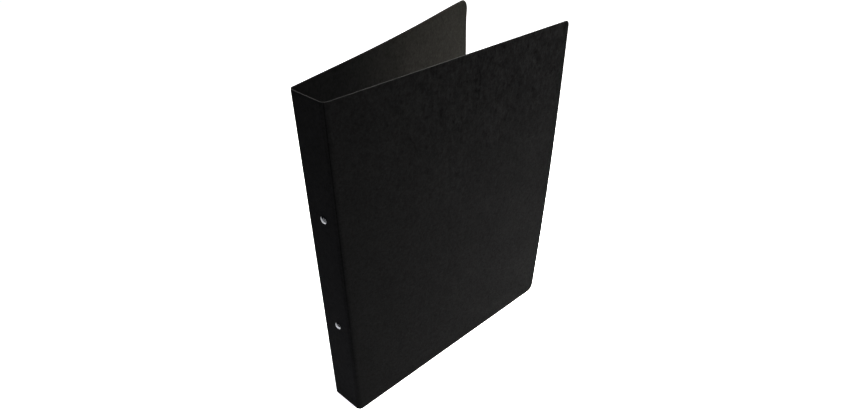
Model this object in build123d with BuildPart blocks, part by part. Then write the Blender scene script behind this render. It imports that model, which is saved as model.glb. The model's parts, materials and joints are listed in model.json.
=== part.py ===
from build123d import *
import os
from math import cos, radians, sin

# A two-ring A4 binder that stands upright on its lower edges.
# Millimetres. +Z is up, +X runs across the spine towards the front cover, and the
# covers reach towards +Y. The origin is in the middle of the spine's bottom edge,
# half way through the board.

# One sheet of pressboard, with two soft creases that leave a spine between the covers.
sheet_height = 320.0
board = 1.0
spine_flat = 28.7
crease_length = 6.6
cover_length = 264.0
corner_radius = 8.0

# How far each cover turns from the spine's plane where the binder stands a little open.
front_turn = 86.1
back_turn = 79.35

# The back cover bows outwards by a few degrees along the middle of its width.
bow_start = 51.0
bow_length = 134.0
bow_turn = 4.45

# Ring mechanism: placed on the spine's inner face by the middle of its section.
mechanism_x = 2.0
mechanism_z = 163.0
ring_pitch = 80.0
rivet_pitch = 114.3

# Housing: an arched steel channel with inward lips and a sunk seat for each rivet.
housing_length = 132.0
housing_half_width = 8.4
housing_side = 2.6
housing_arch = 4.8
housing_sheet = 0.6
housing_edge_radius = 0.5
lip_width = 2.0
seat_radius = 3.8
seat_height = 3.6
seat_rim = 4.2
collar_radius = 2.7
slot_width = 3.5
slot_inner = 3.2
slot_outer = 7.9
slot_floor = 1.2

# Blades: two plates whose outer edges rock in the housing's lips.
blade_length = 126.0
blade_reach = 7.05
blade_heel = 0.25
blade_sheet = 0.7
blade_slope = 7.5
pivot_x = 7.2
pivot_y = 1.6
rivet_notch_radius = 4.6

# Rings: round wire, each half staked through its blade.
ring_inner_radius = 10.0
wire_radius = 1.25
ring_centre_y = 13.5
ring_sweep = 150.0
ring_tip_angle = 0.3
foot_bend_radius = 2.0
stake_radius = 0.9
stake_head_radius = 1.5
stake_head_height = 0.35

# Rivets: domed heads outside, and tubular shanks rolled over in the housing's seats.
head_radius = 3.6
head_height = 1.6
head_rim = 0.3
shank_radius = 2.0
bore_radius = 1.3
bore_floor = 0.4
roll_radius = 3.2
roll_height = 0.8

SIDES = {"left": -1, "right": 1}
LEVELS = {"upper": 1, "lower": -1}


def section_plane(side, z):
    """The mechanism's cross-section: local x outwards to one side, local y into the binder."""
    return Plane(origin=(mechanism_x, board / 2, z), x_dir=(side, 0, 0), z_dir=(0, 0, side))


def blade_plane(side, z):
    """A section on a blade's pivot: local x along the blade inwards, local y to the spine."""
    slope = radians(blade_slope)
    return Plane(
        origin=(mechanism_x + side * pivot_x, board / 2 + pivot_y, z),
        x_dir=(-side * cos(slope), -sin(slope), 0),
        z_dir=(0, 0, side),
    )


def rivet_height(level):
    return mechanism_z + level * rivet_pitch / 2


def ring_height(level):
    return mechanism_z + level * ring_pitch / 2


def spine_face(depth, z):
    """A plane parallel to the spine, facing into the binder, at a depth from its inner face."""
    origin = (mechanism_x, board / 2 + depth, z)
    return Plane(origin=origin, x_dir=(1, 0, 0), z_dir=(0, 1, 0))


def save(builder, label):
    """Label a finished piece and write it to its own file."""
    builder.part.label = label
    export_step(builder.part, f"parts/{label}.step")


def free_corners(cover):
    """The two short edges through the board on a cover's free side."""
    through_board = cover.edges().filter_by(lambda edge: abs(edge.length - board) < 1e-4)
    return through_board.sort_by(Axis.Y)[-2:]


os.makedirs("parts", exist_ok=True)

# --- The creases' centre lines, one on each side of the spine ---
front_bend = JernArc(
    start=(spine_flat / 2, 0),
    tangent=(1, 0),
    radius=crease_length / radians(front_turn),
    arc_size=front_turn,
)
back_bend = JernArc(
    start=(-spine_flat / 2, 0),
    tangent=(-1, 0),
    radius=crease_length / radians(back_turn),
    arc_size=-back_turn,
)

# --- Spine: the flat strip between the creases, with two rivet holes ---
with BuildPart() as spine:
    with BuildSketch():
        Rectangle(spine_flat, board)
    extrude(amount=sheet_height)
    for level in LEVELS.values():
        with BuildSketch(spine_face(0, rivet_height(level))):
            Circle(shank_radius)
        extrude(amount=-board, mode=Mode.SUBTRACT)
save(spine, "spine")

# --- Creases: the sheet's two soft bends ---
for bend, label in ((front_bend, "front_crease"), (back_bend, "back_crease")):
    with BuildPart() as crease:
        with BuildSketch():
            trace(bend, line_width=board)
        extrude(amount=sheet_height)
    save(crease, label)

# --- Front cover: flat, with rounded free corners ---
with BuildPart() as front_cover:
    with BuildSketch():
        with BuildLine():
            Line(front_bend @ 1, front_bend @ 1 + (front_bend % 1) * cover_length)
        trace(line_width=board)
    extrude(amount=sheet_height)
    fillet(free_corners(front_cover), corner_radius)
save(front_cover, "front_cover")

# --- Back cover: bowed outwards, with rounded free corners ---
with BuildPart() as back_cover:
    with BuildSketch():
        with BuildLine():
            near = Line(back_bend @ 1, back_bend @ 1 + (back_bend % 1) * bow_start)
            bow = JernArc(
                start=near @ 1,
                tangent=near % 1,
                radius=bow_length / radians(bow_turn),
                arc_size=bow_turn,
            )
            far_length = cover_length - bow_start - bow_length
            Line(bow @ 1, bow @ 1 + (bow % 1) * far_length)
        trace(line_width=board)
    extrude(amount=sheet_height)
    fillet(free_corners(back_cover), corner_radius)
save(back_cover, "back_cover")

# --- Housing: arched channel, lips, ring slots and rivet seats ---
with BuildPart() as housing:
    with BuildSketch(section_plane(1, mechanism_z)):
        with BuildLine():
            Polyline(
                (-housing_half_width, housing_side),
                (-housing_half_width, 0),
                (housing_half_width, 0),
                (housing_half_width, housing_side),
            )
            ThreePointArc(
                (housing_half_width, housing_side),
                (0, housing_arch),
                (-housing_half_width, housing_side),
            )
        make_face()
        fillet(vertices().sort_by(Axis.Y)[:2], housing_edge_radius)
        offset(amount=-housing_sheet, mode=Mode.SUBTRACT)
        Rectangle(
            2 * (housing_half_width - lip_width), 3 * housing_sheet, mode=Mode.SUBTRACT
        )
    extrude(amount=housing_length / 2, both=True)

    for level in LEVELS.values():
        # A sunk seat, on a collar that stands on the board, carries each rivet.
        z = rivet_height(level)
        with BuildSketch(spine_face(seat_height - housing_sheet, z)):
            Circle(seat_radius + housing_sheet)
        extrude(amount=seat_rim - seat_height + housing_sheet)
        with BuildSketch(spine_face(seat_height, z)):
            Circle(seat_radius)
        extrude(amount=housing_arch, mode=Mode.SUBTRACT)
        with BuildSketch(spine_face(0, z)):
            Circle(collar_radius)
        extrude(amount=seat_height)
        with BuildSketch(spine_face(0, z)):
            Circle(shank_radius)
        extrude(amount=seat_height, mode=Mode.SUBTRACT)

        # A slot on each side of the ring lets the wire pass and swing.
        for side in SIDES.values():
            with BuildSketch(section_plane(side, ring_height(level))):
                with Locations((slot_inner, slot_floor)):
                    Rectangle(
                        slot_outer - slot_inner,
                        housing_arch,
                        align=(Align.MIN, Align.MIN),
                    )
            extrude(amount=slot_width / 2, both=True, mode=Mode.SUBTRACT)
save(housing, "housing")

# --- Half rings: an arc from the ring's tip, a tight bend and a staked foot ---
for side_name, side in SIDES.items():
    for level_name, level in LEVELS.items():
        z = ring_height(level)
        with BuildPart() as half_ring:
            with BuildLine(section_plane(side, z)) as wire_line:
                arc = CenterArc(
                    (0, ring_centre_y),
                    ring_inner_radius + wire_radius,
                    90 - ring_tip_angle,
                    ring_tip_angle - ring_sweep,
                )
                foot_turn = ring_sweep - 90 + blade_slope
                bend = JernArc(arc @ 1, arc % 1, foot_bend_radius, foot_turn)
                foot = blade_plane(side, z).to_local_coords(bend @ 1)
                shoulder = -blade_sheet / 2 - foot.Y
                Line(bend @ 1, bend @ 1 + (bend % 1) * shoulder)
            with BuildSketch(Plane(origin=arc @ 0, z_dir=arc % 0)):
                Circle(wire_radius)
            sweep(path=wire_line.wires()[0])
            stake_plane = Plane(origin=bend @ 1 + (bend % 1) * shoulder, z_dir=bend % 1)
            with BuildSketch(stake_plane):
                Circle(stake_radius)
            extrude(amount=blade_sheet + stake_head_height / 2)
            with BuildSketch(stake_plane.offset(blade_sheet)):
                Circle(stake_head_radius)
            extrude(amount=stake_head_height)
        save(half_ring, f"{level_name}_{side_name}_ring")
stake_along_blade = foot.X

# --- Blades: plates with a rounded heel, notched round the rivets ---
for side_name, side in SIDES.items():
    with BuildPart() as blade:
        with BuildSketch(blade_plane(side, mechanism_z)):
            with Locations((-blade_heel, 0)):
                Rectangle(
                    blade_heel + blade_reach,
                    blade_sheet,
                    align=(Align.MIN, Align.CENTER),
                )
            fillet(vertices(), blade_sheet / 4)
        extrude(amount=blade_length / 2, both=True)
        for level in LEVELS.values():
            with BuildSketch(spine_face(0, rivet_height(level))):
                Circle(rivet_notch_radius)
            extrude(amount=housing_arch, mode=Mode.SUBTRACT)
            stake_origin = blade_plane(side, ring_height(level))
            stake_hole = Plane(
                origin=stake_origin.from_local_coords((stake_along_blade, 0, 0)),
                z_dir=stake_origin.y_dir,
            )
            with BuildSketch(stake_hole):
                Circle(stake_radius)
            extrude(amount=blade_sheet, both=True, mode=Mode.SUBTRACT)
    save(blade, f"{side_name}_blade")

# --- Rivets: a half section turned about the rivet's axis ---
for level_name, level in LEVELS.items():
    z = rivet_height(level)
    axis = Axis((mechanism_x, 0, z), (0, 1, 0))
    clinch = -board - seat_height
    with BuildPart() as rivet:
        outwards = Plane(
            origin=(mechanism_x, -board / 2, z), x_dir=(1, 0, 0), z_dir=(0, 0, -1)
        )
        with BuildSketch(outwards):
            with BuildLine():
                dome = TangentArc((0, head_height), (head_radius, head_rim), tangent=(1, 0))
                outline = Polyline(
                    dome @ 1,
                    (head_radius, 0),
                    (shank_radius, 0),
                    (shank_radius, clinch),
                    (roll_radius, clinch),
                )
                roll = ThreePointArc(
                    outline @ 1,
                    ((roll_radius + bore_radius) / 2, clinch - roll_height),
                    (bore_radius, clinch),
                )
                Polyline(roll @ 1, (bore_radius, -bore_floor), (0, -bore_floor), (0, head_height))
            make_face()
        revolve(axis=axis)
    save(rivet, f"{level_name}_rivet")
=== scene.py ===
import json
import math

import bmesh
import bpy
import numpy as np
from mathutils import Matrix, Vector


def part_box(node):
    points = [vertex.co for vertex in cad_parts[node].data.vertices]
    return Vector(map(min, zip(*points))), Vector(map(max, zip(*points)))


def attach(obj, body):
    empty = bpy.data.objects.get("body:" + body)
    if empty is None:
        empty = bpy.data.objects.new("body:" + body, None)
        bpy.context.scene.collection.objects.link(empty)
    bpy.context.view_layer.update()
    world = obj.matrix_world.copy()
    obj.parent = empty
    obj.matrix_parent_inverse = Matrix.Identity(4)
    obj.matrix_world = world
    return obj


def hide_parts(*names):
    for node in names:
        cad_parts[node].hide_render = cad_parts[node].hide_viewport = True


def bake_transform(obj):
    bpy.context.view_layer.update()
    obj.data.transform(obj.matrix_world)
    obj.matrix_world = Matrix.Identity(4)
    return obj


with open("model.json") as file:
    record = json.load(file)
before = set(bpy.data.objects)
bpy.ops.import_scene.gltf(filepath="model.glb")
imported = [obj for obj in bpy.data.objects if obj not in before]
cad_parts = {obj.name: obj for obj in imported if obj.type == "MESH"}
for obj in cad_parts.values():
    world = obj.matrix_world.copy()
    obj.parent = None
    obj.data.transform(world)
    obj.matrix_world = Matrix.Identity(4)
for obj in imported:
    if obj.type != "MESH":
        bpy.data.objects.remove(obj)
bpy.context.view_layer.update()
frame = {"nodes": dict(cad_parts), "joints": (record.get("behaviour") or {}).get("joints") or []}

# ---------------------------------------------------------------------------
# Driving dimensions, in metres, read from the frame where it has them
# ---------------------------------------------------------------------------

MM = 0.001
joints = {joint["name"]: joint for joint in frame["joints"]}
spine_low, spine_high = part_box("spine")
board = spine_high[1] - spine_low[1]
sheet_height = spine_high[2] - spine_low[2]
spine_half = (spine_high[0] - spine_low[0]) / 2

# A closed cover is square to the spine, so each hinge's lower limit gives its turn at rest.
front_turn = math.radians(90 + joints["front_crease_hinge"]["range_deg"][0])
back_turn = math.radians(90 + joints["back_crease_hinge"]["range_deg"][0])
crease_length = 6.6 * MM
cover_length = 264 * MM

# Each cover's lower and upper free corners
front_corner_radii = (8 * MM, 4 * MM)
back_corner_radii = (8 * MM, 11 * MM)

# The back cover bows outwards along the middle of its width.
bow_start = 51 * MM
bow_length = 134 * MM
bow_turn = math.radians(4.45)
sheet_reach = spine_half + crease_length + cover_length

# Each side of the sheet as (length, turn) runs, from the middle of the spine outwards.
front_runs = [
    (spine_half, 0),
    (crease_length, front_turn),
    (cover_length, 0),
]
back_runs = [
    (spine_half, 0),
    (crease_length, back_turn),
    (bow_start, 0),
    (bow_length, -bow_turn),
    (cover_length - bow_start - bow_length, 0),
]

# How far the covers' free edges bow out of flat at half height: the front one outwards, the
# back one inwards
front_bulge = 2.4 * MM
back_bulge = -3.6 * MM

# The back cover's upper corner is bent inwards a little. ear_reach is how far the bend reaches
# along each of its two edges, and ear_bend is how far the very corner moves.
ear_reach = 34 * MM
ear_bend = 1.6 * MM

# The cut edges' rounding, and a pressed score line in each crease, measured from the spine
edge_round = 0.22 * MM
score_place = 3.2 * MM
score_width = 0.5 * MM
score_depth = 0.14 * MM

# Mesh rows up the sheet, as shares of its height, closer together under a cover's upper edge
row_step = 0.012
upper_rows_start = 0.9
upper_row_step = 0.006

smooth_angle = math.radians(35)


# ---------------------------------------------------------------------------
# Mesh helpers
# ---------------------------------------------------------------------------


def new_object(name, vertices, faces, materials, face_materials=None):
    """A mesh object with smooth shading that breaks at edges sharper than smooth_angle."""
    mesh = bpy.data.meshes.new(name)
    mesh.from_pydata([tuple(v) for v in vertices], [], faces)
    for material in materials:
        mesh.materials.append(material)
    if face_materials is not None:
        mesh.polygons.foreach_set("material_index", face_materials)
    tidy = bmesh.new()
    tidy.from_mesh(mesh)
    bmesh.ops.recalc_face_normals(tidy, faces=tidy.faces)
    tidy.to_mesh(mesh)
    tidy.free()
    mesh.shade_smooth()
    mesh.set_sharp_from_angle(angle=smooth_angle)
    thing = bpy.data.objects.new(name, mesh)
    bpy.context.scene.collection.objects.link(thing)
    return thing


def walk(runs, distance):
    """Place and heading on a chain of straight and curved runs, at a distance along it."""
    x = y = heading = 0.0
    left = distance
    for index, (length, turn) in enumerate(runs):
        last = index == len(runs) - 1
        step = left if last else min(left, length)
        if turn:
            radius = length / turn
            after = heading + step / radius
            x += radius * (math.sin(after) - math.sin(heading))
            y += radius * (math.cos(heading) - math.cos(after))
            heading = after
        else:
            x += step * math.cos(heading)
            y += step * math.sin(heading)
        left -= step
        if left <= 0 and not last:
            break
    return x, y, heading


def bulge(s, z):
    """How far the free part of a cover stands out of flat at a place."""
    share = max(0, (abs(s) - spine_half - crease_length) / cover_length)
    bow = share**2 * math.sin(math.pi * z / sheet_height)
    if s > 0:
        return front_bulge * bow
    from_corner = (sheet_reach - abs(s)) + (sheet_height - z)
    return back_bulge * bow - ear_bend * max(0, 1 - from_corner / ear_reach) ** 2


def sheet_point(s, z, h):
    """The place of a point of the sheet: s along it from the spine's middle (positive towards
    the front cover), z up it, h out of its middle towards the binder's outside."""
    side = 1 if s >= 0 else -1
    h += bulge(s, z)
    x, y, heading = walk(front_runs if side > 0 else back_runs, abs(s))
    out_x, out_y = math.sin(heading), -math.cos(heading)
    return Vector((side * (x + h * out_x), y + h * out_y, z))


def score_dip(s):
    """How far the two pressed score lines push the board inwards at s."""
    away = (abs(s) - spine_half - score_place) / score_width
    return score_depth * math.exp(-away * away)


def rows_between(low, high, spacing):
    """Evenly spaced values from low to high, about spacing apart."""
    return np.linspace(low, high, max(2, round((high - low) / spacing) + 1))


def edge_profile():
    """(outwards, h) pairs round the board's cut edge, from its outer to its inner face."""
    flat = board / 2 - edge_round
    turned = [math.radians(angle) for angle in (30, 60, 90)]
    outer = [(edge_round * math.sin(a), flat + edge_round * math.cos(a)) for a in turned]
    return outer + [(out, -h) for out, h in reversed(outer)]


def board_piece(name, columns, materials, free_end=0, radii=(0, 0)):
    """One stretch of the sheet. columns are its places along s; free_end is 1 or -1 where the
    last or first column is the sheet's free end, and radii are its lower and upper corners'.
    The other ends are plain faces that meet the next stretch."""
    columns = np.array(columns, float)
    rows = rows_between(0, 1, row_step)
    if free_end:
        upper_rows = rows_between(upper_rows_start, 1, upper_row_step)
        rows = np.concatenate([rows[rows < upper_rows_start], upper_rows])
    count, height = len(columns), len(rows)

    def corner_angle(s, radius):
        """How far round a corner the outline has turned at s."""
        past = abs(s) - (sheet_reach - radius)
        return math.asin(min(past / (radius - edge_round), 1)) if free_end and past > 0 else 0.0

    def margin(s, radius):
        """How far the flat faces stay inside the sheet's lower or upper limit at s."""
        angle = corner_angle(s, radius)
        return edge_round + (radius - edge_round) * (1 - math.cos(angle))

    def outward(s, top):
        """The outline's outward direction in (s, z) at its lower or upper edge."""
        angle = corner_angle(s, radii[1 if top else 0])
        return free_end * math.sin(angle), math.cos(angle) * (1 if top else -1)

    flat_places = []
    for s in columns:
        low = margin(s, radii[0])
        high = sheet_height - margin(s, radii[1])
        flat_places.append([(s, low + (high - low) * row) for row in rows])

    places, faces, kinds = [], [], []

    def add(s, z, h):
        places.append((s, z, h))
        return len(places) - 1

    outer = [[add(s, z, board / 2) for s, z in column] for column in flat_places]
    inner = [[add(s, z, -board / 2) for s, z in column] for column in flat_places]
    for i in range(count - 1):
        for j in range(height - 1):
            for grid in (outer, inner):
                faces.append((grid[i][j], grid[i + 1][j], grid[i + 1][j + 1], grid[i][j + 1]))
                kinds.append(0)

    # The outline, as (column, row, outward direction), open at the ends that meet a neighbour
    bottom = [(i, 0, outward(columns[i], False)) for i in range(count)]
    top = [(i, height - 1, outward(columns[i], True)) for i in range(count)]
    if free_end > 0:
        side = [(count - 1, j, (1.0, 0.0)) for j in range(1, height - 1)]
        chains = [bottom + side + top[::-1]]
    elif free_end < 0:
        side = [(0, j, (-1.0, 0.0)) for j in range(1, height - 1)]
        chains = [bottom[::-1] + side + top]
    else:
        chains = [bottom, top]
    profile = edge_profile()
    rims = {}
    for chain in chains:
        rings = []
        for i, j, (out_s, out_z) in chain:
            s, z = flat_places[i][j]
            ring = [outer[i][j]]
            ring += [add(s + out * out_s, z + out * out_z, h) for out, h in profile]
            ring.append(inner[i][j])
            rings.append(ring)
            rims[(i, j)] = ring
        for one, two in zip(rings, rings[1:]):
            for k in range(len(one) - 1):
                faces.append((one[k], two[k], two[k + 1], one[k + 1]))
                kinds.append(0 if k in (0, len(one) - 2) else 1)

    # Plain ends, where this stretch meets its neighbours
    for i in range(0, count, count - 1):
        if (free_end > 0 and i > 0) or (free_end < 0 and i == 0):
            continue
        for j in range(height - 1):
            faces.append((outer[i][j], outer[i][j + 1], inner[i][j + 1], inner[i][j]))
            kinds.append(1)
        for j in (0, height - 1):
            faces.append(tuple(rims[(i, j)]))
            kinds.append(1)

    vertices = [sheet_point(s, z, h - score_dip(s)) for s, z, h in places]
    piece = new_object(name, vertices, faces, materials, kinds)
    where = piece.data.attributes.new("sheet_place", "FLOAT_VECTOR", "POINT")
    where.data.foreach_set("vector", np.array(places, np.float32).ravel())
    return piece


# ---------------------------------------------------------------------------
# Material helpers
# ---------------------------------------------------------------------------


class Shader:
    """A small builder for a Principled material's node tree."""

    def __init__(self, name):
        self.material = bpy.data.materials.new(name)
        self.material.use_nodes = True
        self.nodes = self.material.node_tree.nodes
        self.links = self.material.node_tree.links
        self.principled = self.nodes["Principled BSDF"]

    def add(self, kind, inputs=None, **settings):
        node = self.nodes.new(kind)
        for key, value in settings.items():
            setattr(node, key, value)
        for key, value in (inputs or {}).items():
            self.put(node, key, value)
        return node

    def put(self, node, key, value):
        if isinstance(value, bpy.types.NodeSocket):
            self.links.new(value, node.inputs[key])
        else:
            node.inputs[key].default_value = value

    def maths(self, operation, *values):
        inputs = dict(enumerate(values))
        return self.add("ShaderNodeMath", inputs, operation=operation).outputs[0]

    def scaled(self, vector, scale):
        node = self.add("ShaderNodeVectorMath", {0: vector, 1: scale}, operation="MULTIPLY")
        return node.outputs[0]

    def noise(self, vector, detail=3.0, roughness=0.55, distortion=0.0):
        """Noise with features about one unit of vector across."""
        inputs = {
            "Vector": vector,
            "Scale": 1.0,
            "Detail": detail,
            "Roughness": roughness,
            "Distortion": distortion,
        }
        return self.add("ShaderNodeTexNoise", inputs).outputs["Fac"]

    def ramp(self, value, low, high, to_low=0.0, to_high=1.0):
        """A smooth step from to_low to to_high as value goes from low to high."""
        inputs = {
            "Value": value,
            "From Min": low,
            "From Max": high,
            "To Min": to_low,
            "To Max": to_high,
        }
        node = self.add("ShaderNodeMapRange", inputs, interpolation_type="SMOOTHSTEP")
        return node.outputs[0]

    def swing(self, value, amount):
        """A pattern between 0 and 1 as a swing either side of nothing."""
        return self.maths("MULTIPLY", self.maths("SUBTRACT", value, 0.5), amount)

    def mix_value(self, factor, one, two):
        node = self.add("ShaderNodeMix", {0: factor, 2: one, 3: two}, data_type="FLOAT")
        return node.outputs[0]

    def mix(self, factor, one, two):
        node = self.add("ShaderNodeMix", data_type="RGBA")
        for socket, value in zip((node.inputs[0], node.inputs[6], node.inputs[7]), (factor, one, two)):
            if isinstance(value, bpy.types.NodeSocket):
                self.links.new(value, socket)
            else:
                socket.default_value = value
        return node.outputs[2]

    def bump(self, height, strength, distance):
        inputs = {"Height": height, "Strength": strength, "Distance": distance}
        return self.add("ShaderNodeBump", inputs).outputs[0]

    def set(self, **values):
        """Set or link the Principled shader's inputs and return the material."""
        for key, value in values.items():
            self.put(self.principled, key.replace("_", " "), value)
        return self.material


def grey(value, warmth=0.0):
    """A grey that leans to red for a warmth above 0, or to blue below it."""
    return (value * (1 + warmth), value, value * (1 - warmth), 1.0)


def olive(value):
    """A faintly yellow grey, which gives the inner side its painted warm light."""
    return (value * 1.035, value, value * 0.905, 1.0)


# ---------------------------------------------------------------------------
# Materials
# ---------------------------------------------------------------------------


def pressboard():
    """Black calendered pressboard: fine grain all over, with blotchy upright streaks that grow
    stronger towards the top and away from the spine. The inner side is plainer and lighter;
    painted shade darkens it near the spine, and painted warm light makes it warmer away from it."""
    shader = Shader("pressboard")
    place = shader.add("ShaderNodeAttribute", attribute_name="sheet_place").outputs["Vector"]
    parts = shader.add("ShaderNodeSeparateXYZ", {0: place})
    along, up, out = parts.outputs
    inner = shader.ramp(out, board / 2, -board / 2)

    grain = shader.noise(shader.scaled(place, (680, 600, 3000)), 2.0, 0.7)
    speck = shader.noise(shader.scaled(place, (320, 260, 1500)), 2.0, 0.6)
    blotch = shader.noise(shader.scaled(place, (220, 140, 900)), 3.0, 0.65, 0.5)
    mark = shader.noise(shader.scaled(place, (170, 85, 700)), 3.0, 0.6, 0.4)
    cloud = shader.noise(shader.scaled(place, (38, 26, 300)), 2.0, 0.5)

    # How strong the streaks are: more towards the top and the free sides, less inside
    streak_strength = shader.ramp(shader.maths("MULTIPLY_ADD", cloud, 0.12, up), 0.24, 0.37, 0.35, 1.5)
    from_middle = shader.maths("ABSOLUTE", along)
    streak_strength = shader.maths("MULTIPLY", streak_strength, shader.ramp(from_middle, 0.0, 0.16, 0.22, 1.0))
    streak_strength = shader.maths("MULTIPLY", streak_strength, shader.mix_value(inner, 1.0, 0.22))

    # Lightness about its mean of 1, as a sum of the patterns' own swings
    streak = shader.maths("MULTIPLY", shader.swing(blotch, 1.25), streak_strength)
    # The dark marks also make the top and the free sides darker on average
    dark_mark = shader.maths("MULTIPLY", shader.ramp(mark, 0.57, 0.72, 0.0, 0.3), streak_strength)
    streak = shader.maths("SUBTRACT", streak, dark_mark)
    fine = shader.maths("ADD", shader.swing(grain, 1.15), shader.swing(speck, 0.55))
    shade = shader.maths("ADD", fine, streak)
    shade = shader.maths("MULTIPLY", shade, shader.mix_value(inner, 1.0, 0.85))
    shade = shader.maths("ADD", shade, shader.swing(cloud, 0.25))

    # Painted shade darkens the pressed score lines, and it fades out towards the bottom
    off_score = shader.maths("SUBTRACT", from_middle, spine_half + score_place)
    off_score = shader.maths("ABSOLUTE", off_score)
    score_shade = shader.ramp(off_score, 0.1 * MM, 0.65 * MM, 0.48, 0.0)
    score_shade = shader.maths("MULTIPLY", score_shade, shader.ramp(up, 0.0, 0.2, 0.15, 1.0))
    shade = shader.maths("SUBTRACT", shade, score_shade)

    # Lighter along the sheet's outline
    from_side = shader.maths("SUBTRACT", sheet_reach, from_middle)
    from_ends = shader.maths("MINIMUM", up, shader.maths("SUBTRACT", sheet_height, up))
    from_edge = shader.maths("MINIMUM", from_side, from_ends)
    outline_lightening = shader.ramp(from_edge, 0.0, 1.2 * MM, 0.6, 0.0)
    shade = shader.maths("MULTIPLY_ADD", outline_lightening, speck, shade)

    shade = shader.maths("MAXIMUM", shader.maths("ADD", shade, 1.0), 0.15)
    # Painted light and shade on the inner side: darker near the spine, where the covers shade it, and
    # lighter and warmer away from it, where warm light falls
    lit_away_from_spine = shader.ramp(from_middle, 0.05, 0.2)
    lining = shader.mix(lit_away_from_spine, grey(0.0185, -0.01), olive(0.0355))
    tint = shader.mix(inner, grey(0.0135), lining)
    colour = shader.add("ShaderNodeVectorMath", {0: tint, 1: shade}, operation="MULTIPLY")

    rough = shader.ramp(shader.maths("MULTIPLY_ADD", blotch, 0.5, grain), 0.5, 1.0, 0.5, 0.38)
    relief = shader.maths("MULTIPLY_ADD", grain, 0.5, blotch)
    normal = shader.bump(relief, 0.5, 0.15 * MM)

    # The level is so low because a white table would otherwise veil the faces seen at a slant.
    return shader.set(
        Base_Color=colour.outputs[0],
        Roughness=rough,
        Normal=normal,
        Specular_IOR_Level=0.006,
    )


def board_edge():
    """The board's cut edge: paler compressed fibres in fine plies."""
    shader = Shader("board_edge")
    place = shader.add("ShaderNodeAttribute", attribute_name="sheet_place").outputs["Vector"]
    plies = shader.noise(shader.scaled(place, (160, 160, 5200)), 2.0, 0.6)
    fibre = shader.noise(shader.scaled(place, (2600, 2600, 2600)), 3.0, 0.6)
    blend = shader.maths("MULTIPLY_ADD", plies, 0.5, shader.maths("MULTIPLY", fibre, 0.5))
    colour = shader.mix(shader.ramp(blend, 0.3, 0.7), grey(0.022, 0.02), grey(0.05, 0.03))
    normal = shader.bump(fibre, 0.4, 0.1 * MM)
    return shader.set(
        Base_Color=colour, Roughness=0.8, Normal=normal, Specular_IOR_Level=0.3
    )


def plated_metal(name, colour, roughness, grain_scale, wear):
    """Nickel plate over drawn steel: fine drawing lines, a cloudy plate and small scuffs, which
    show more with more wear."""
    shader = Shader(name)
    place = shader.add("ShaderNodeTexCoord").outputs["Object"]
    lines = shader.noise(shader.scaled(place, grain_scale), 3.0, 0.6)
    cloud = shader.noise(shader.scaled(place, (320, 320, 320)), 3.0, 0.6)
    scuff = shader.noise(shader.scaled(place, (1500, 1500, 700)), 4.0, 0.7, 1.0)
    tint = shader.mix(
        shader.ramp(cloud, 0.3, 0.7), grey(colour * 0.92, -0.02), grey(colour, -0.035)
    )
    marks = shader.ramp(scuff, 0.62, 0.75, 0, 0.6)
    tint = shader.mix(shader.maths("MULTIPLY", marks, wear), tint, grey(colour * 0.6, 0.0))
    rough = shader.maths(
        "ADD",
        shader.ramp(lines, 0.3, 0.7, roughness * 0.8, roughness * 1.25),
        shader.maths("MULTIPLY", marks, 0.2),
    )
    normal = shader.bump(lines, 0.12, 0.02 * MM)
    return shader.set(Base_Color=tint, Metallic=1.0, Roughness=rough, Normal=normal)


board_materials = [pressboard(), board_edge()]
ring_metal = plated_metal("ring_nickel", 0.36, 0.14, (3000, 3000, 3000), 0.3)
housing_metal = plated_metal("housing_nickel", 0.33, 0.2, (4000, 4000, 160), 0.5)
blade_metal = plated_metal("blade_steel", 0.27, 0.34, (4000, 4000, 160), 0.6)
rivet_metal = plated_metal("rivet_nickel", 0.3, 0.1, (2200, 2200, 2200), 0.7)


# ---------------------------------------------------------------------------
# The sheet
# ---------------------------------------------------------------------------


def cover_columns(radii):
    """Places along a cover from its crease to its free end, closer together near both."""
    start = spine_half + crease_length
    radius = max(radii)
    corner = sheet_reach - radius
    near = start + np.array([0, 0.2, 0.6, 1.2, 2.4]) * MM
    middle = rows_between(start + 5 * MM, corner, 4 * MM)
    turn = np.radians(np.arange(7.5, 91, 7.5))
    last = corner + (radius - edge_round) * np.sin(turn)
    return np.concatenate([near, middle, last])


def crease_columns():
    """Places along a crease, closer together at its ends and at the score line."""
    shares = 0.5 - 0.5 * np.cos(np.linspace(0, math.pi, 41))
    return spine_half + crease_length * shares


def spine_columns():
    shares = np.sin(np.linspace(-math.pi / 2, math.pi / 2, 17))
    return spine_half * shares


spine_board = board_piece("spine_board", spine_columns(), board_materials)
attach(spine_board, "spine")
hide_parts("spine")

front_places = cover_columns(front_corner_radii)
front_board = board_piece("front_cover_board", front_places, board_materials, 1, front_corner_radii)
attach(front_board, "front_cover")
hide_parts("front_cover")

back_places = -cover_columns(back_corner_radii)[::-1]
back_board = board_piece("back_cover_board", back_places, board_materials, -1, back_corner_radii)
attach(back_board, "back_cover")
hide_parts("back_cover")

front_fold = board_piece("front_crease_board", crease_columns(), board_materials)
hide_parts("front_crease")

back_fold = board_piece("back_crease_board", -crease_columns()[::-1], board_materials)
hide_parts("back_crease")


def crease_ends(side, turn):
    """The two ends of a crease's middle line, drawn towards each other along their chord until
    each clears the plain face there."""
    near = sheet_point(side * spine_half, sheet_height / 2, 0)
    far = sheet_point(side * (spine_half + crease_length), sheet_height / 2, 0)
    inset = (far - near).normalized() * (board / 2 * math.sin(turn / 2) * 1.05)
    return near + inset, far - inset


fold_start, fold_end = crease_ends(1, front_turn)
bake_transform(front_fold)
fold_start, fold_end = crease_ends(-1, back_turn)
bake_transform(back_fold)

# ---------------------------------------------------------------------------
# Metal parts
# ---------------------------------------------------------------------------


def arc(centre, radius, first, last, steps):
    """Points on an arc, as (r, out) pairs, between two angles in degrees."""
    angles = np.radians(np.linspace(first, last, steps + 1))
    return [(centre[0] + radius * math.cos(a), centre[1] + radius * math.sin(a)) for a in angles]


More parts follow.
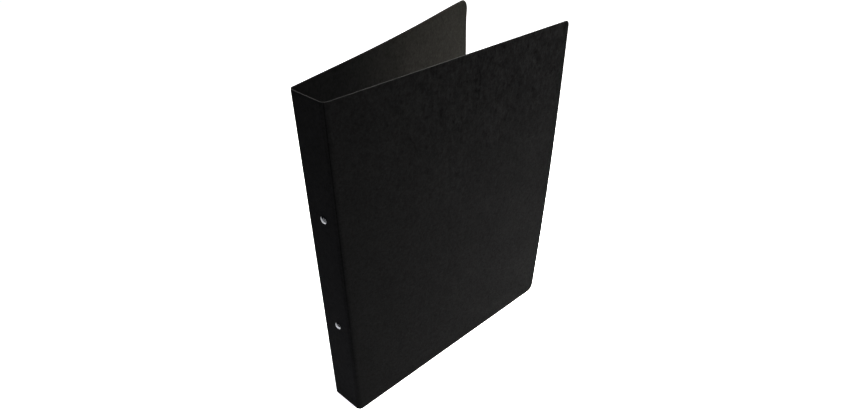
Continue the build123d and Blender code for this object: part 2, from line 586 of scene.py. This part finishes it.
# The rivets' shared sizes
rim_height = 0.3 * MM
rim_round = 0.14 * MM
shank_radius = 2.0 * MM
bore_radius = 1.3 * MM
bore_floor = 0.4 * MM
bore_round = 0.2 * MM
roll_radius = 3.2 * MM
roll_height = 0.8 * MM

# The rolled end of the tube splits as it spreads: this deep, and only further into the binder
# than split_start, which is measured from the spine's outer face.
rivet_turns = 72
turns_per_split = 12
split_depth = 0.25 * MM
split_start = -4.7 * MM


def rivet_outline(head_radius, head_height, length):
    """A tubular rivet's half section as (radius, out) pairs from the middle of its domed head
    round to the floor of its bore. out is measured from the spine's outer face."""
    rise = head_height - rim_height
    dome_radius = (head_radius**2 + rise**2) / 2 / rise
    dome_turn = math.degrees(math.asin((head_radius - rim_round) / dome_radius))
    dome_centre = (0, head_height - dome_radius)
    clinch = head_height - length + roll_height
    points = arc(dome_centre, dome_radius, 90, 90 - dome_turn, 24)
    points += arc((head_radius - rim_round, rim_round), rim_round, 30, -90, 5)
    points += [(shank_radius, 0), (shank_radius, clinch)]
    roll_middle = (roll_radius + bore_radius) / 2
    for angle in np.radians(np.linspace(0, 180, 17)):
        reach = (roll_radius - bore_radius) / 2 * math.cos(angle)
        points.append((roll_middle + reach, clinch - roll_height * math.sin(angle)))
    bore_end = -bore_floor - bore_round
    points.append((bore_radius, bore_end))
    points += arc((bore_radius - bore_round, bore_end), bore_round, 30, 90, 2)
    points.append((0, -bore_floor))
    return points


def split_share(step, out):
    """How deep the rolled tube's splits are at a step round it, from 0 to 1."""
    if out >= split_start:
        return 0
    away = step % turns_per_split - turns_per_split / 2
    return math.exp(-(away**2) / 0.6)


def rivet(level, material):
    """A rivet turned from its half section, with a few splits where its tube was rolled over."""
    low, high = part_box(f"{level}_rivet")
    head_radius = (high[0] - low[0]) / 2
    middle_x, middle_z = (low[0] + high[0]) / 2, (low[2] + high[2]) / 2
    outline = rivet_outline(head_radius, spine_low[1] - low[1], high[1] - low[1])
    vertices = [(middle_x, spine_low[1] - outline[0][1], middle_z)]
    for radius, out in outline[1:-1]:
        for step in range(rivet_turns):
            angle = 2 * math.pi * step / rivet_turns
            x = middle_x + radius * math.cos(angle)
            y = spine_low[1] - out - split_depth * split_share(step, out)
            z = middle_z + radius * math.sin(angle)
            vertices.append((x, y, z))
    vertices.append((middle_x, spine_low[1] - outline[-1][1], middle_z))
    last = len(vertices) - 1
    faces = []
    for step in range(rivet_turns):
        after = (step + 1) % rivet_turns
        faces.append((0, 1 + step, 1 + after))
        for ring in range(len(outline) - 3):
            near = 1 + ring * rivet_turns
            far = near + rivet_turns
            faces.append((near + step, far + step, far + after, near + after))
        end = last - rivet_turns
        faces.append((end + step, last, end + after))
    piece = new_object(f"{level}_rivet_metal", vertices, faces, [material])
    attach(piece, "spine")
    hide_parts(f"{level}_rivet")


def dress(node, material):
    """Give a CAD node its finished material."""
    thing = frame["nodes"][node]
    thing.data.materials.clear()
    thing.data.materials.append(material)


for level in ("upper", "lower"):
    rivet(level, rivet_metal)
    for side in ("left", "right"):
        dress(f"{level}_{side}_ring", ring_metal)
dress("left_blade", blade_metal)
dress("right_blade", blade_metal)
dress("housing", housing_metal)

# ---------------------------------------------------------------------------
# Stage, light and camera
# ---------------------------------------------------------------------------

# The floor is a lit white table: it glows a little below white and the lights do the rest.
table_glow = 0.98
world_light = 0.01
floor_shader = Shader("light_table")
floor_shader.set(
    Base_Color=grey(0.65),
    Roughness=0.9,
    Specular_IOR_Level=0.1,
    Emission_Color=grey(1.0),
    Emission_Strength=table_glow,
)
half_floor = 8.0
floor_corners = [(-1, -1), (1, -1), (1, 1), (-1, 1)]
floor = new_object(
    "studio_floor",
    [(half_floor * x, half_floor * y, 0) for x, y in floor_corners],
    [(0, 1, 2, 3)],
    [floor_shader.material],
)


def reflected_card(name, near, far, near_span, far_span, glow):
    """An upright card between two places on the floor, from its lower to its upper edge at
    each. Only reflections see it: it gives the metal the dark room beyond the table."""
    vertices = [
        (*near, near_span[0]),
        (*far, far_span[0]),
        (*far, far_span[1]),
        (*near, near_span[1]),
    ]
    shader = Shader(name)
    shader.set(Base_Color=grey(0.01), Emission_Color=grey(1.0), Emission_Strength=glow)
    card = new_object(name, vertices, [(0, 1, 2, 3)], [shader.material])
    card.visible_camera = False
    card.visible_diffuse = False
    card.visible_shadow = False


# The cards run from just in front of the binder out to a turn, and on round its left side. A
# pale strip crosses the first of them, from strip_near at its near end to strip_far at the turn.
card_near = (0.12, -0.11)
card_turn = (-0.9, -1.62)
card_far = (-1.8, -0.4)
card_top = 1.6
strip_near = (0.09, 0.16)
strip_far = (0.4, 0.85)
under_strip = ((0, strip_near[0]), (0, strip_far[0]))
over_strip = ((strip_near[1], card_top), (strip_far[1], card_top))
reflected_card("dark_card_low", card_near, card_turn, *under_strip, 0.0)
reflected_card("pale_card", card_near, card_turn, strip_near, strip_far, 0.9)
reflected_card("dark_card_high", card_near, card_turn, *over_strip, 0.0)
reflected_card("dark_card_side", card_turn, card_far, (0, card_top), (0, card_top), 0.0)

# The world is white where the camera sees it and gives almost no light.
world = bpy.data.worlds.new("studio")
world.use_nodes = True
world_nodes, world_links = world.node_tree.nodes, world.node_tree.links
seen = world_nodes.new("ShaderNodeLightPath").outputs["Is Camera Ray"]
strength = world_nodes.new("ShaderNodeMapRange")
world_links.new(seen, strength.inputs["Value"])
strength.inputs["To Min"].default_value = world_light
strength.inputs["To Max"].default_value = 1.0
world_links.new(strength.outputs[0], world_nodes["Background"].inputs["Strength"])
world_nodes["Background"].inputs["Color"].default_value = grey(1.0)
bpy.context.scene.world = world


def softbox(name, place, target, size, power, colour, beam=180):
    """A square area light that faces a target and isn't itself seen."""
    light = bpy.data.lights.new(name, "AREA")
    light.energy = power
    light.size = size
    light.color = colour
    light.spread = math.radians(beam)
    lamp = bpy.data.objects.new(name, light)
    lamp.location = place
    away = Vector(place) - Vector(target)
    lamp.rotation_euler = away.to_track_quat("Z", "Y").to_euler()
    lamp.visible_camera = False
    bpy.context.scene.collection.objects.link(lamp)


white = (1.0, 1.0, 1.0)
cool = (0.83, 0.83, 1.0)
blue = (0.4, 0.48, 1.0)
warm = (1.0, 0.985, 0.965)
softbox("top_softbox", (0.25, 0.45, 2.0), (0.25, 0.45, 0), 0.5, 6.6, warm, 38)
softbox("side_softbox", (1.2, 0.7, 1.2), (0.05, 0.27, 0.05), 0.5, 2.55, warm, 32)
softbox("right_softbox", (0.9, -0.9, 1.05), (0.1, 0, 0.05), 0.8, 4.8, white)
softbox("front_softbox", (-0.1, -1.2, 0.75), (0, 0, 0.27), 0.8, 3.4, cool)
softbox("low_softbox", (-0.3, -1.0, 0.35), (0, 0, 0.02), 0.4, 0.085, blue, 20)
softbox("rear_softbox", (-0.6, 0.8, 1.2), (0, 0.3, 0.1), 0.8, 4.2, white)
softbox("left_softbox", (-1.2, 0.45, 0.8), (0, 0.15, 0.15), 0.8, 11.0, white)

camera_data = bpy.data.cameras.new("camera")
camera = bpy.data.objects.new("camera", camera_data)
bpy.context.scene.collection.objects.link(camera)
bpy.context.scene.camera = camera

azimuth = math.radians(42.41)
elevation = math.radians(38.46)
roll = math.radians(0.217)
back = Vector(
    (
        math.sin(azimuth) * math.cos(elevation),
        -math.cos(azimuth) * math.cos(elevation),
        math.sin(elevation),
    )
)
right = Vector((math.cos(azimuth), math.sin(azimuth), 0))
up = back.cross(right)
turned_right = right * math.cos(roll) + up * math.sin(roll)
turned_up = up * math.cos(roll) - right * math.sin(roll)
axes = Matrix((turned_right, turned_up, back)).transposed()
camera_place = (0.3188, -0.2210, 0.4774)
camera.matrix_world = Matrix.Translation(camera_place) @ axes.to_4x4()
camera_data.sensor_width = 36
camera_data.lens = 24.5805
camera_data.shift_x = -0.00407
camera_data.shift_y = 0.06721
camera_data.clip_start = 0.01
camera_data.clip_end = 50

bpy.context.scene.view_settings.view_transform = "Standard"
bpy.context.scene.view_settings.gamma = 0.7
